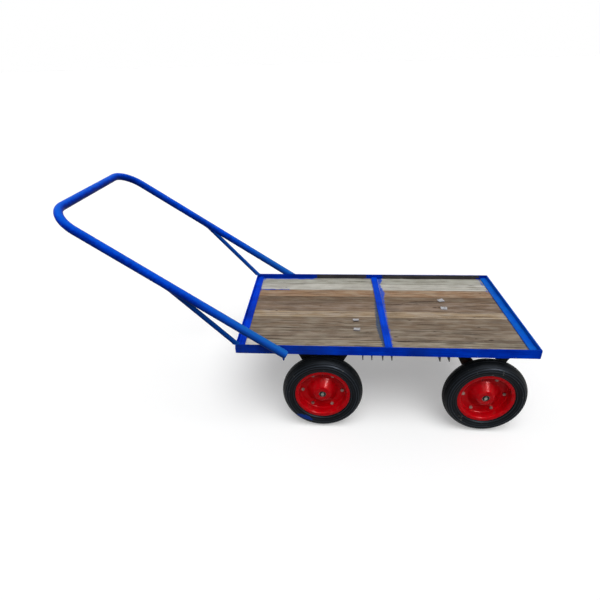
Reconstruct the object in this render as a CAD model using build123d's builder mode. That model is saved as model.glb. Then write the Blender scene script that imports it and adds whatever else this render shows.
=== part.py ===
from build123d import *
import os
from math import cos, radians, sin, sqrt

# A four-wheel platform cart with a fixed push handle, in millimetres.
# +X runs from the handle end to the front, +Y to the pusher's left, +Z up.
# The origin is on the floor under the middle of the whole cart.

os.makedirs("parts", exist_ok=True)

# Deck frame of angle steel
deck_length = 1200
deck_width = 700
rail_leg = 40
rail_wall = 4
rail_root_radius = 2
rail_toe_radius = 1.5
tyre_to_rail = 24

# Wooden planks, laid from the left rail; the last one is ripped to the room that is left
plank_thickness = 16
plank_widths = (68.5, 70, 73, 52, 92, 58, 96, 93)
narrowest_plank = 40
plank_gap = 1
plank_side_gap = 2.5
plank_end_gap = 2
plank_edge_radius = 1.5

# Flat straps over the planks
strap_width = 30
strap_thickness = 4
strap_edge = 0.8
middle_strap_x = 20

# Sheet metal patches nailed on the planks, by place on the deck
patch_length = 27
patch_width = 25
patch_thickness = 1
patch_places = ((314, 95), (311, 16), (-100, -105), (-100, -184))

# Cross bearers of channel, open side down
bearer_width = 40
axle_bearer_depth = 45
cross_bearer_depth = 54
bearer_wall = 3
bearer_to_tyre = 1
inner_bearer_shares = {"rear": 0.52, "front": 0.25}

# Handle of bent tube with two stays
handle_diameter = 33.7
handle_wall = 2.6
handle_bend_radius = 110
grip_height = 949
grip_reach = 650
grip_width = 703
arm_seat_reach = 157
arm_past_seat = 60
stay_diameter = 20
stay_wall = 2
stay_reach = 270
stay_inset = 10
weld_gap = 0.1

# Axles and their brackets
rear_axle_inset = 355
front_axle_inset = 178
wheel_inset = 18
axle_diameter = 25
journal_diameter = 20
axle_end_past_clip = 2.1
axle_chamfer = 1.5
bracket_thickness = 6
bracket_to_tyre = 35
bracket_boss_radius = 30
bracket_leg_width = 38
axle_hole_gap = 0.05

# Ball bearings, two in each wheel, and the circlip that keeps the wheel on
bearing_diameter = 47
bearing_width = 14
bearing_ring_wall = 3.9
bearing_fit = 0.02
bearing_shield = 0.8
bearing_shield_inset = 0.3
bearing_shield_gap = 0.35
ball_diameter = 7.94
ball_count = 8
ball_gap = 0.23
circlip_width = 1.2
circlip_play = 0.05
circlip_height = 3.6
circlip_depth = 0.5
circlip_mouth = 9

# Pressed rim halves, bolted together back to back
rim_diameter = 231
bead_diameter = 203
rim_width = 60
rim_sheet = 2.5
rim_seat_bend = 7
rim_lip_bend = 6
hub_hole_diameter = 31
dome_top_diameter = 64
dome_foot_diameter = 128
dome_top_bend = 12
dome_foot_bend = 18
web_inset = 8.8
bearing_recess = 2

# Rim bolts and nuts
bolt_count = 6
bolt_circle_diameter = 166
bolt_diameter = 8
bolt_hole_diameter = 9
bolt_head_across = 13
bolt_head_height = 5.3
nut_height = 6.5
nut_bore_gap = 0.05
bolt_past_nut = 3

# Pneumatic tyre and its air tube with the valve
tyre_diameter = 338
tyre_width = 74
tyre_to_rim = 0.3
bead_width = 8
bead_height = 16
sidewall_thickness = 5.5
tread_thickness = 10
shoulder_width = 62
shoulder_drop = 11
tread_groove_width = 4
tread_groove_depth = 4
tread_groove_spacing = 12
tread_groove_count = 4
air_tube_wall = 2.5
air_tube_gap = 0.3
valve_diameter = 8
valve_hole_gap = 0.6
valve_tip_radius = 80
valve_from_middle = 13
valve_angles = {"rear_right": 90, "rear_left": 30, "front_right": 105, "front_left": 210}

# Places that follow from the sizes
deck_x = (grip_reach + handle_diameter / 2) / 2
axle_z = tyre_diameter / 2
rail_bottom = tyre_diameter + tyre_to_rail
rail_top = rail_bottom + rail_leg
plank_bottom = rail_bottom + rail_wall
plank_top = plank_bottom + plank_thickness
bearer_bottom = plank_bottom - axle_bearer_depth
inner_length = deck_length - 2 * rail_wall
inner_width = deck_width - 2 * rail_wall
deck_rear = deck_x - deck_length / 2
deck_front = deck_x + deck_length / 2
axle_places = {"rear": deck_rear + rear_axle_inset, "front": deck_front - front_axle_inset}
wheel_sides = {"right": -1, "left": 1}
wheel_y = deck_width / 2 - wheel_inset
bearing_face = rim_width / 2 - rim_sheet - bearing_recess
bearing_middle = bearing_face - bearing_width / 2
ball_pitch_radius = (bearing_diameter + journal_diameter) / 4
groove_radius = ball_diameter / 2 + ball_gap


def save(piece, name):
    """Label a finished piece and write it under its own name."""
    piece.part.label = name
    export_step(piece.part, f"parts/{name}.step")


# Rails: angle steel with its upright leg outside, mitred at the corners
def angle_rail(length, outer_middle, along):
    inward = Vector(0, 0, 1).cross(along)
    profile_plane = Plane(outer_middle - along * (length / 2), x_dir=inward, z_dir=along)
    with BuildPart() as rail:
        with BuildSketch(profile_plane):
            with BuildLine():
                FilletPolyline(
                    (0, 0),
                    (rail_leg, 0),
                    (rail_leg, rail_wall),
                    (rail_wall, rail_wall),
                    (rail_wall, rail_leg),
                    (0, rail_leg),
                    (0, 0),
                    radius=(0, 0, rail_toe_radius, rail_root_radius, rail_toe_radius, 0),
                )
            make_face()
        extrude(amount=length)
        for end in (-1, 1):
            corner = outer_middle + along * (end * length / 2)
            split(bisect_by=Plane(corner, z_dir=(along * end + inward) * -1), keep=Keep.TOP)
    return rail


side_middle = deck_width / 2
save(angle_rail(deck_length, Vector(deck_x, -side_middle, rail_bottom), Vector(1, 0, 0)), "side_rail_right")
save(angle_rail(deck_length, Vector(deck_x, side_middle, rail_bottom), Vector(-1, 0, 0)), "side_rail_left")
save(angle_rail(deck_width, Vector(deck_rear, 0, rail_bottom), Vector(0, -1, 0)), "end_rail_rear")
save(angle_rail(deck_width, Vector(deck_front, 0, rail_bottom), Vector(0, 1, 0)), "end_rail_front")


# Bearers: channels between the feet of the side rails, level with them, under the planks.
# Those beside an axle have their ends cut back at a slope below the rails, away from the tyres.
def cross_bearer(x, depth, cut_back=False):
    length = deck_width - 2 * rail_leg
    with BuildPart() as bearer:
        with BuildSketch(Plane((x, length / 2, plank_bottom), x_dir=(1, 0, 0), z_dir=(0, -1, 0))):
            Rectangle(bearer_width, depth, align=(Align.CENTER, Align.MAX))
            with Locations((0, -bearer_wall)):
                Rectangle(
                    bearer_width - 2 * bearer_wall,
                    depth - bearer_wall,
                    align=(Align.CENTER, Align.MAX),
                    mode=Mode.SUBTRACT,
                )
        extrude(amount=length)
        if cut_back:
            for end in (-1, 1):
                heel = Vector(x, end * length / 2, rail_bottom)
                split(bisect_by=Plane(heel, z_dir=(0, -end, 1)), keep=Keep.TOP)
    return bearer


# An axle's two bearers stand clear of the tyre where it rises to their undersides,
# and one more lies a share of the way from them to the middle bearer
bearer_rise = bearer_bottom - axle_z
tyre_reach = sqrt(max(axle_z**2 - bearer_rise**2, 0))
bearer_from_axle = tyre_reach + bearer_to_tyre + bearer_width / 2
middle_bearer_x = deck_x + middle_strap_x
for end, axle_x in axle_places.items():
    behind = axle_x - bearer_from_axle
    ahead = axle_x + bearer_from_axle
    nearest = ahead if end == "rear" else behind
    between = nearest + (middle_bearer_x - nearest) * inner_bearer_shares[end]
    save(cross_bearer(behind, axle_bearer_depth, cut_back=True), f"axle_bearer_{end}_1")
    save(cross_bearer(ahead, axle_bearer_depth, cut_back=True), f"axle_bearer_{end}_2")
    save(cross_bearer(between, cross_bearer_depth), f"cross_bearer_{end}")
save(cross_bearer(middle_bearer_x, cross_bearer_depth), "cross_bearer_middle")


# Planks: sawn boards along the deck, resting on the rail feet and the bearers
def deck_plank(left_edge, width):
    with BuildPart() as plank:
        with BuildSketch(Plane.XY.offset(plank_bottom)):
            with Locations((deck_x, left_edge - width / 2)):
                Rectangle(inner_length - 2 * plank_end_gap, width)
        extrude(amount=plank_thickness)
        fillet(plank.edges().filter_by(Axis.X), plank_edge_radius)
    return plank


left_edge = inner_width / 2 - plank_side_gap
right_limit = -left_edge
plank_number = 0
while left_edge - right_limit > plank_gap:
    room = left_edge - right_limit
    width = plank_widths[plank_number % len(plank_widths)]
    if room - width < narrowest_plank:
        width = room
    plank_number += 1
    save(deck_plank(left_edge, width), f"plank_{plank_number}")
    left_edge -= width + plank_gap


# Straps: flat bars across the planks, welded to the rails at both ends
def deck_strap(x):
    with BuildPart() as strap:
        with BuildSketch(Plane.XY.offset(plank_top)):
            with Locations((x, 0)):
                Rectangle(strap_width, inner_width)
        extrude(amount=strap_thickness)
        chamfer(strap.faces().sort_by(Axis.Z)[-1].edges().filter_by(Axis.Y), strap_edge)
    return strap


end_strap_x = (inner_length - strap_width) / 2
save(deck_strap(deck_x - end_strap_x), "strap_rear")
save(deck_strap(deck_x + middle_strap_x), "strap_middle")
save(deck_strap(deck_x + end_strap_x), "strap_front")

# Patches: four pieces of sheet metal on the planks
with BuildPart() as patches:
    with BuildSketch(Plane.XY.offset(plank_top)):
        for along, across in patch_places:
            with Locations((deck_x + along, across)):
                Rectangle(patch_length, patch_width)
    extrude(amount=patch_thickness)
save(patches, "mending_patches")

# Handle: one tube bent to a loop, a little narrower at the grip. Its arms run down past the
# top edges of the side rails to below them, and its open ends are cut square.
arm_y = deck_width / 2 + weld_gap + handle_diameter / 2
grip_corner = Vector(deck_rear - grip_reach, -grip_width / 2, grip_height)
arm_seat = Vector(deck_rear + arm_seat_reach, -arm_y, rail_top)
arm_run = (arm_seat - grip_corner).normalized()
arm_foot = arm_seat + arm_run * arm_past_seat
with BuildPart() as handle_loop:
    with BuildLine() as loop_line:
        FilletPolyline(
            (arm_foot.X, arm_foot.Y, arm_foot.Z),
            (grip_corner.X, grip_corner.Y, grip_corner.Z),
            (grip_corner.X, -grip_corner.Y, grip_corner.Z),
            (arm_foot.X, -arm_foot.Y, arm_foot.Z),
            radius=handle_bend_radius,
        )
    with BuildSketch(Plane(loop_line.line @ 0, z_dir=loop_line.line % 0)):
        Circle(handle_diameter / 2)
        Circle(handle_diameter / 2 - handle_wall, mode=Mode.SUBTRACT)
    sweep()
save(handle_loop, "handle_loop")


# Stays: thin tubes from the rear corners of the frame up to the undersides of the arms
stay_foot = Vector(deck_rear + rail_wall / 2, stay_inset - deck_width / 2, rail_top)
stay_head = arm_seat - arm_run * ((arm_seat_reach + stay_reach) / arm_run.X)
stay_run = (stay_head - stay_foot).normalized()
stay_start = stay_foot - stay_run * (2 * stay_diameter)
with BuildPart() as handle_stay_right:
    with BuildSketch(Plane(stay_start, z_dir=stay_run)):
        Circle(stay_diameter / 2)
        Circle(stay_diameter / 2 - stay_wall, mode=Mode.SUBTRACT)
    extrude(amount=(stay_head - stay_start).length)
    with BuildSketch(Plane(stay_head - arm_run * stay_reach, z_dir=arm_run)):
        Circle(handle_diameter / 2 + weld_gap)
    extrude(amount=2 * stay_reach, mode=Mode.SUBTRACT)
    split(bisect_by=Plane.XY.offset(rail_top), keep=Keep.TOP)
save(handle_stay_right, "handle_stay_right")
with BuildPart() as handle_stay_left:
    mirror(handle_stay_right.part, about=Plane.XZ)
save(handle_stay_left, "handle_stay_left")


# Brackets: plates from an axle's bearers down to the axle, inside of the wheels.
# The rear ones are whole and the front ones are cut out to a V.
def axle_bracket(axle_x, side, open_middle):
    plate_y = wheel_y - tyre_width / 2 - bracket_to_tyre
    half_top = bearer_from_axle + bearer_width / 2
    outer_y = side * plate_y
    plate_plane = Plane((axle_x, outer_y, axle_z), x_dir=(side, 0, 0), z_dir=(0, -side, 0))
    lean = half_top / bearer_rise
    leg_across = bracket_leg_width * sqrt(1 + lean**2)
    window_half = half_top - leg_across
    window_depth = window_half / lean
    with BuildPart() as bracket:
        with BuildSketch(plate_plane):
            with BuildLine():
                Line((-half_top, bearer_rise), (half_top, bearer_rise))
                CenterArc((0, 0), bracket_boss_radius, 0, 360)
            make_hull()
            Circle(axle_diameter / 2 + axle_hole_gap, mode=Mode.SUBTRACT)
            if open_middle:
                with BuildLine():
                    Polyline(
                        (-window_half, bearer_rise),
                        (window_half, bearer_rise),
                        (0, bearer_rise - window_depth),
                        close=True,
                    )
                make_face(mode=Mode.SUBTRACT)
        extrude(amount=bracket_thickness)
    return bracket


for end, axle_x in axle_places.items():
    for side_name, side in wheel_sides.items():
        save(axle_bracket(axle_x, side, end == "front"), f"axle_bracket_{end}_{side_name}")

# Axles: bars with a turned journal and a circlip groove at each end
shoulder_y = wheel_y - bearing_face
groove_start = wheel_y + bearing_face + circlip_play
groove_end = groove_start + circlip_width + circlip_play
axle_end_y = groove_end + axle_end_past_clip
for end, axle_x in axle_places.items():
    with BuildPart() as axle:
        with BuildSketch(Plane((axle_x, 0, axle_z), x_dir=(0, 1, 0), z_dir=(1, 0, 0))):
            with BuildLine():
                Polyline(
                    (0, 0),
                    (0, axle_diameter / 2),
                    (shoulder_y, axle_diameter / 2),
                    (shoulder_y, journal_diameter / 2),
                    (groove_start, journal_diameter / 2),
                    (groove_start, journal_diameter / 2 - circlip_depth),
                    (groove_end, journal_diameter / 2 - circlip_depth),
                    (groove_end, journal_diameter / 2),
                    (axle_end_y - axle_chamfer, journal_diameter / 2),
                    (axle_end_y, journal_diameter / 2 - axle_chamfer),
                    (axle_end_y, 0),
                    close=True,
                )
            make_face()
        revolve(axis=Axis((axle_x, 0, axle_z), (0, 1, 0)))
        mirror(about=Plane.XZ)
    save(axle, f"axle_{end}")


# A wheel's section plane: its X runs from the wheel's middle along the axle, its Y is the radius.
# Facing 1 looks outwards from the cart and facing -1 inwards.
def wheel_section(axle_x, side, facing=1):
    return Plane((axle_x, side * wheel_y, axle_z), x_dir=(0, side * facing, 0), z_dir=(side * facing, 0, 0))


# A plane across the axle, at a distance from the wheel's middle
def wheel_face(axle_x, side, distance, facing=1):
    face_y = side * (wheel_y + facing * distance)
    return Plane((axle_x, face_y, axle_z), x_dir=(1, 0, 0), z_dir=(0, side * facing, 0))


def axle_axis(axle_x):
    return Axis((axle_x, 0, axle_z), (0, 1, 0))


# Valves point at the axle; the angle is counted from the front towards the top
def valve_plane(axle_x, side, name, radius):
    angle = radians(valve_angles[name])
    outward = Vector(cos(angle), 0, sin(angle))
    centre = Vector(axle_x, side * (wheel_y + valve_from_middle), axle_z)
    return Plane(centre + outward * radius, z_dir=outward)


# Bearing inner rings and circlips, which stay on the axles
with BuildPart() as inner_rings:
    for axle_x in axle_places.values():
        for side in wheel_sides.values():
            for facing in (1, -1):
                with BuildSketch(wheel_section(axle_x, side, facing)):
                    with Locations((bearing_middle, journal_diameter / 2 + bearing_fit)):
                        Rectangle(bearing_width, bearing_ring_wall, align=(Align.CENTER, Align.MIN))
                    with Locations((bearing_middle, ball_pitch_radius)):
                        Circle(groove_radius, mode=Mode.SUBTRACT)
                revolve(axis=axle_axis(axle_x))
save(inner_rings, "bearing_inner_rings")

circlip_inner = journal_diameter / 2 - circlip_depth + circlip_play
with BuildPart() as circlips:
    for axle_x in axle_places.values():
        for side in wheel_sides.values():
            with BuildSketch(wheel_face(axle_x, side, bearing_face + circlip_play)):
                Circle(circlip_inner + circlip_height)
                Circle(circlip_inner, mode=Mode.SUBTRACT)
                Rectangle(
                    circlip_mouth,
                    circlip_inner + circlip_height,
                    align=(Align.CENTER, Align.MAX),
                    mode=Mode.SUBTRACT,
                )
            extrude(amount=circlip_width)
save(circlips, "axle_circlips")


# Rim halves: pressed sheet with a domed hub, a flat bolting ring, a bead seat and a lip.
# They meet inwards of the wheel's middle, so the outer half is the deeper one.
def rim_half(axle_x, side, facing, valve_name):
    lip_x = (rim_width - rim_sheet) / 2
    joint_x = -facing * web_inset
    web_x = joint_x + rim_sheet / 2
    hub_x = bearing_face + rim_sheet / 2
    seat_radius = (bead_diameter - rim_sheet) / 2
    cup_radius = bearing_diameter / 2 + bearing_fit
    with BuildPart() as rim:
        with BuildSketch(wheel_section(axle_x, side, facing)):
            with BuildLine():
                FilletPolyline(
                    (hub_x, hub_hole_diameter / 2),
                    (hub_x, dome_top_diameter / 2),
                    (web_x, dome_foot_diameter / 2),
                    (web_x, seat_radius),
                    (lip_x, seat_radius),
                    (lip_x, rim_diameter / 2),
                    radius=(dome_top_bend, dome_foot_bend, rim_seat_bend, rim_lip_bend),
                )
            trace(line_width=rim_sheet)
            with Locations((hub_x, cup_radius)):
                Rectangle(bearing_width + rim_sheet / 2, rim_sheet, align=(Align.MAX, Align.MIN))
        revolve(axis=axle_axis(axle_x))
        with BuildSketch(wheel_face(axle_x, side, joint_x, facing)):
            with PolarLocations(bolt_circle_diameter / 2, bolt_count):
                Circle(bolt_hole_diameter / 2)
        extrude(amount=2 * rim_sheet, mode=Mode.SUBTRACT)
        if facing == 1:
            with BuildSketch(valve_plane(axle_x, side, valve_name, valve_tip_radius)):
                Circle(valve_diameter / 2 + valve_hole_gap)
            extrude(amount=bead_diameter / 2 + rim_sheet - valve_tip_radius, mode=Mode.SUBTRACT)
    return rim


# Rim bolts with their heads outside and a nut on each inside
def rim_bolts(axle_x, side):
    shank_length = 2 * rim_sheet + nut_height + bolt_past_nut
    head_plane = wheel_face(axle_x, side, rim_sheet - web_inset)
    nut_plane = wheel_face(axle_x, side, rim_sheet + web_inset, -1)
    with BuildPart() as bolts:
        with BuildSketch(head_plane):
            with PolarLocations(bolt_circle_diameter / 2, bolt_count):
                RegularPolygon(bolt_head_across / 2, 6, major_radius=False)
        extrude(amount=bolt_head_height)
        with BuildSketch(head_plane):
            with PolarLocations(bolt_circle_diameter / 2, bolt_count):
                Circle(bolt_diameter / 2)
        extrude(amount=-shank_length)
        with BuildSketch(nut_plane):
            with PolarLocations(bolt_circle_diameter / 2, bolt_count):
                RegularPolygon(bolt_head_across / 2, 6, major_radius=False)
                Circle(bolt_diameter / 2 + nut_bore_gap, mode=Mode.SUBTRACT)
        extrude(amount=nut_height)
    return bolts


# Bearing outer rings with their shields, and the balls between the rings
def wheel_bearings(axle_x, side):
    ring_outer = bearing_diameter / 2
    shield_inner = journal_diameter / 2 + bearing_fit + bearing_ring_wall + bearing_shield_gap
    shield_height = ring_outer - bearing_ring_wall / 2 - shield_inner
    shield_x = (bearing_width - bearing_shield) / 2 - bearing_shield_inset
    ball_planes = [wheel_face(axle_x, side, bearing_middle, facing) for facing in (1, -1)]
    with BuildPart(*ball_planes) as bearings:
        with PolarLocations(ball_pitch_radius, ball_count):
            Sphere(ball_diameter / 2)
        for facing in (1, -1):
            with BuildSketch(wheel_section(axle_x, side, facing)):
                with Locations((bearing_middle, ring_outer)):
                    Rectangle(bearing_width, bearing_ring_wall, align=(Align.CENTER, Align.MAX))
                with Locations((bearing_middle, ball_pitch_radius)):
                    Circle(groove_radius, mode=Mode.SUBTRACT)
                with Locations(
                    (bearing_middle - shield_x, shield_inner),
                    (bearing_middle + shield_x, shield_inner),
                ):
                    Rectangle(bearing_shield, shield_height, align=(Align.CENTER, Align.MIN))
            revolve(axis=axle_axis(axle_x))
    return bearings


# The outline of the air space in a tyre, from bead to bead over the crown
def air_space_outline():
    seat = bead_diameter / 2
    inner_bead_x = rim_width / 2 - rim_sheet - tyre_to_rim - bead_width
    bead_top = seat + bead_height
    crown = tyre_diameter / 2 - tread_thickness
    wide_x = tyre_width / 2 - sidewall_thickness
    wide_radius = (rim_diameter + tyre_diameter) / 4
    shoulder_x = shoulder_width / 2 - sidewall_thickness
    shoulder_radius = crown - shoulder_drop / 2
    for turn in (1, -1):
        wide = (turn * wide_x, wide_radius)
        Line((turn * inner_bead_x, seat), (turn * inner_bead_x, bead_top))
        TangentArc(wide, (turn * inner_bead_x, bead_top), tangent=(0, -1))
        TangentArc(wide, (turn * shoulder_x, shoulder_radius), tangent=(0, 1))
    ThreePointArc((-shoulder_x, shoulder_radius), (0, crown), (shoulder_x, shoulder_radius))
    Line((-inner_bead_x, seat), (inner_bead_x, seat))


# Tyre: rubber, open towards the rim, with grooves round the tread
def tyre(axle_x, side):
    heel_x = rim_width / 2 - rim_sheet - tyre_to_rim
    heel_radius = bead_diameter / 2 + tyre_to_rim
    lip_clear = rim_diameter / 2 + tyre_to_rim
    lip_x = rim_width / 2 + tyre_to_rim
    tread = tyre_diameter / 2
    shoulder_x = shoulder_width / 2
    shoulder_radius = tread - shoulder_drop
    heel_round = rim_lip_bend - rim_sheet / 2 - tyre_to_rim
    crown_curve = (shoulder_x**2 + shoulder_drop**2) / (2 * shoulder_drop)
    crown_centre = tread - crown_curve
    with BuildPart() as rubber:
        with BuildSketch(wheel_section(axle_x, side)):
            with BuildLine():
                for turn in (1, -1):
                    wide = (turn * tyre_width / 2, (rim_diameter + tyre_diameter) / 4)
                    FilletPolyline(
                        (0, heel_radius),
                        (turn * heel_x, heel_radius),
                        (turn * heel_x, lip_clear),
                        (turn * lip_x, lip_clear),
                        radius=(heel_round, 0),
                    )
                    TangentArc(wide, (turn * lip_x, lip_clear), tangent=(0, -1))
                    TangentArc(wide, (turn * shoulder_x, shoulder_radius), tangent=(0, 1))
                ThreePointArc((-shoulder_x, shoulder_radius), (0, tread), (shoulder_x, shoulder_radius))
            make_face()
            with BuildLine():
                air_space_outline()
            make_face(mode=Mode.SUBTRACT)
            for index in range(tread_groove_count):
                groove_x = (index - (tread_groove_count - 1) / 2) * tread_groove_spacing
                with Locations((groove_x, crown_centre + sqrt(crown_curve**2 - groove_x**2))):
                    Rectangle(tread_groove_width, 2 * tread_groove_depth, mode=Mode.SUBTRACT)
        revolve(axis=axle_axis(axle_x))
    return rubber


# Air tube: fills the air space, with a valve through the outer rim half
def air_tube(axle_x, side, valve_name):
    with BuildPart() as tube:
        with BuildSketch(wheel_section(axle_x, side)):
            with BuildLine():
                air_space_outline()
            make_face()
            offset(amount=-air_tube_gap, mode=Mode.REPLACE)
        revolve(axis=axle_axis(axle_x))
        with BuildSketch(valve_plane(axle_x, side, valve_name, valve_tip_radius)):
            Circle(valve_diameter / 2)
        extrude(amount=bead_diameter / 2 + air_tube_wall / 2 - valve_tip_radius)
        with BuildSketch(wheel_section(axle_x, side)):
            with BuildLine():
                air_space_outline()
            make_face()
            offset(amount=-air_tube_gap - air_tube_wall, mode=Mode.REPLACE)
        revolve(axis=axle_axis(axle_x), mode=Mode.SUBTRACT)
    return tube


for end, axle_x in axle_places.items():
    for side_name, side in wheel_sides.items():
        wheel = f"{end}_{side_name}"
        save(tyre(axle_x, side), f"{wheel}_tyre")
        save(air_tube(axle_x, side, wheel), f"{wheel}_air_tube")
        save(rim_half(axle_x, side, 1, wheel), f"{wheel}_rim_outer")
        save(rim_half(axle_x, side, -1, wheel), f"{wheel}_rim_inner")
        save(rim_bolts(axle_x, side), f"{wheel}_rim_bolts")
        save(wheel_bearings(axle_x, side), f"{wheel}_bearings")
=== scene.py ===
import random
from math import atan2, ceil, cos, exp, hypot, pi, radians, sin, sqrt, tau

import bmesh
import bpy
from mathutils import Matrix, Vector, noise


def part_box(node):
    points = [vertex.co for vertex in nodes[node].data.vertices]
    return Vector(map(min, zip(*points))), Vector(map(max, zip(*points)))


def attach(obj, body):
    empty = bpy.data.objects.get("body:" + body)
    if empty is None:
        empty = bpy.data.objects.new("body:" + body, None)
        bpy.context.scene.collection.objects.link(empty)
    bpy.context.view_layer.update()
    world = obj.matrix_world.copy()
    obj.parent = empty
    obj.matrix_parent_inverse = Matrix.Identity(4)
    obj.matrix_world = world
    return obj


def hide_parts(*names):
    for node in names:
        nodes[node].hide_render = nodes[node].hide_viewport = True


# A four-wheel platform hand cart, in metres: +X is the front, +Y the pusher's left, Z is up.
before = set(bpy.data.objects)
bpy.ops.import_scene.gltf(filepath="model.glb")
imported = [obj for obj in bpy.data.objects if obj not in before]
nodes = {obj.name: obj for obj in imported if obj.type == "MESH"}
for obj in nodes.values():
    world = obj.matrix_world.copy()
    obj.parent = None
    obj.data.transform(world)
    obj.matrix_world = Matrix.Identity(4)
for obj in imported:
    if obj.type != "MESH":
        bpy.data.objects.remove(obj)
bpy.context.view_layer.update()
mm = 0.001


# Deck frame: four lengths of 40 mm angle steel, mitred and welded at the corners.
# Brushed by hand with blue alkyd enamel, so it is streaky along each length, thin and paler on
# the edges, chipped to dark steel here and there, and dusty on top.
def linear(colour):
    """An sRGB hex colour as linear red, green, blue and alpha."""
    channels = [int(colour[start : start + 2], 16) / 255 for start in (1, 3, 5)]
    return [c / 12.92 if c <= 0.04045 else ((c + 0.055) / 1.055) ** 2.4 for c in channels] + [1.0]


def add(tree, kind, inputs=None, out=0, **settings):
    """Add a shader node with its settings, set or link its inputs, and give one of its outputs."""
    node = tree.nodes.new("ShaderNode" + kind)
    for name, value in settings.items():
        setattr(node, name, value)
    for socket, value in (inputs or {}).items():
        if isinstance(value, bpy.types.NodeSocket):
            tree.links.new(value, node.inputs[socket])
        else:
            node.inputs[socket].default_value = value
    return node.outputs[out] if node.outputs else None


# Settings of a Mix node that mixes colours, and the values between which most of a noise lies.
of_colours = {"out": 2, "data_type": "RGBA"}
noise_range = {"From Min": 0.3, "From Max": 0.7}


def new_material(name):
    """A material with an empty tree, and the place of each point of the surface."""
    material = bpy.data.materials.new(name)
    material.use_nodes = True
    material.node_tree.nodes.clear()
    return material, material.node_tree, add(material.node_tree, "TexCoord", out="Object")


def surface(tree, colour, roughness, relief, depth, **shading):
    """End a material: the shader with its values, and a bump as deep as the relief really is."""
    bump = add(tree, "Bump", {"Height": relief, "Distance": depth, "Strength": 0.7})
    inputs = {"Base Color": colour, "Roughness": roughness, "Normal": bump}
    for name, value in shading.items():
        inputs[name.replace("_", " ")] = value
    add(tree, "OutputMaterial", {"Surface": add(tree, "BsdfPrincipled", inputs)})


def worn_edges(tree, reach):
    """One on sharp edges, falling to nought within a reach of them."""
    rounded = add(tree, "Bevel", {"Radius": reach}, samples=4)
    flat = add(tree, "NewGeometry", out="Normal")
    alike = add(tree, "VectorMath", {0: rounded, 1: flat}, out="Value", operation="DOT_PRODUCT")
    return add(tree, "MapRange", {"Value": alike, "From Min": 0.97, "From Max": 0.8})


def blotches(tree, place, size, detail, start, end, most=1.0, least=0.0):
    """A share that goes from least to most where a noise of a size rises from a start to an end."""
    spots = add(tree, "TexNoise", {"Vector": place, "Scale": 1 / size, "Detail": detail})
    rise = {"From Min": start, "From Max": end, "To Min": least, "To Max": most}
    return add(tree, "MapRange", {"Value": spots, **rise})


def lay(tree, under, over, value, start, end, most=1.0):
    """A colour laid over another, from none to most of it as a value goes from a start to an end."""
    rise = {"From Min": start, "From Max": end, "To Max": most}
    share = add(tree, "MapRange", {"Value": value, **rise})
    return add(tree, "Mix", {0: share, 6: under, 7: over}, **of_colours)


def drawn_noise(tree, place, sizes, detail, shift=0.0):
    """A noise drawn out to a size along each axis, as by a brush, a tool or growth."""
    scale = [1 / size for size in sizes]
    drawn = add(tree, "Mapping", {"Vector": place, "Location": [shift] * 3, "Scale": scale})
    return add(tree, "TexNoise", {"Vector": drawn, "Scale": 1, "Detail": detail})


def brushed_enamel(tree, place, stroke):
    """Colour, roughness and relief of blue enamel brushed in strokes of a size along X, Y and Z."""
    streak = drawn_noise(tree, place, stroke, 3)
    cloud = add(tree, "TexNoise", {"Vector": place, "Scale": 1 / (70 * mm), "Detail": 4})
    tone = add(tree, "Math", {0: streak, 1: cloud}, operation="ADD")
    grime = blotches(tree, place, 260 * mm, 5, 0.5, 0.72, 0.6)
    patchy = blotches(tree, place, 16 * mm, 3, 0.35, 0.65, 0.55)
    worn = add(tree, "Math", {0: worn_edges(tree, 2.5 * mm), 1: patchy}, operation="MULTIPLY")
    fleck = add(tree, "TexNoise", {"Vector": place, "Scale": 1 / (9 * mm), "Detail": 3})
    loose = add(tree, "Math", {0: fleck, 1: worn}, operation="ADD")
    chip = add(tree, "MapRange", {"Value": loose, "From Min": 0.78, "From Max": 0.84, "To Max": 0.8})
    upward = add(tree, "SeparateXYZ", {0: add(tree, "NewGeometry", out="Normal")}, out="Z")
    upward = add(tree, "MapRange", {"Value": upward, "From Min": 0.6, "From Max": 0.95, "To Max": 0.012})
    film = blotches(tree, place, 28 * mm, 4, 0.48, 0.75)
    dust = add(tree, "Math", {0: upward, 1: film}, operation="MULTIPLY")
    paint = lay(tree, linear("#0027A6"), linear("#0044DC"), tone, 0.72, 1.28)
    for share, tint in ((grime, "#102770"), (worn, "#2F73DC"), (chip, "#23252D"), (dust, "#7F93AE")):
        paint = add(tree, "Mix", {0: share, 6: paint, 7: linear(tint)}, **of_colours)
    roughness = add(tree, "MapRange", {"Value": streak, **noise_range, "To Min": 0.34, "To Max": 0.5})
    relief = add(tree, "Math", {0: streak, 1: chip}, operation="SUBTRACT")
    return paint, roughness, relief


enamel_film = 0.4 * mm
enamel_gloss = {"Specular_IOR_Level": 0.02, "Specular_Tint": linear("#1446FF")}


def blue_enamel(name, stroke, start, end, change, most):
    """Brushed blue enamel that changes slowly to another colour from a start to an end along the cart."""
    material, tree, place = new_material(name)
    paint, roughness, relief = brushed_enamel(tree, place, stroke)
    along = add(tree, "SeparateXYZ", {0: place})
    share = add(tree, "MapRange", {"Value": along, "From Min": start, "From Max": end, "To Max": most})
    mottle = blotches(tree, place, 22 * mm, 4, 0.35, 0.65, 1.2, 0.65)
    share = add(tree, "Math", {0: share, 1: mottle}, operation="MULTIPLY")
    paint = add(tree, "Mix", {0: share, 6: paint, 7: linear(change)}, **of_colours)
    surface(tree, paint, roughness, relief, enamel_film, **enamel_gloss)
    return material


def give(material, *names):
    """Give CAD nodes a finish."""
    for name in names:
        nodes[name].data.materials.clear()
        nodes[name].data.materials.append(material)


bristle_mark = 3 * mm
brush_stroke = 110 * mm
lengthwise_stroke = (brush_stroke, bristle_mark, bristle_mark)
crosswise_stroke = (bristle_mark, brush_stroke, bristle_mark)
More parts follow.
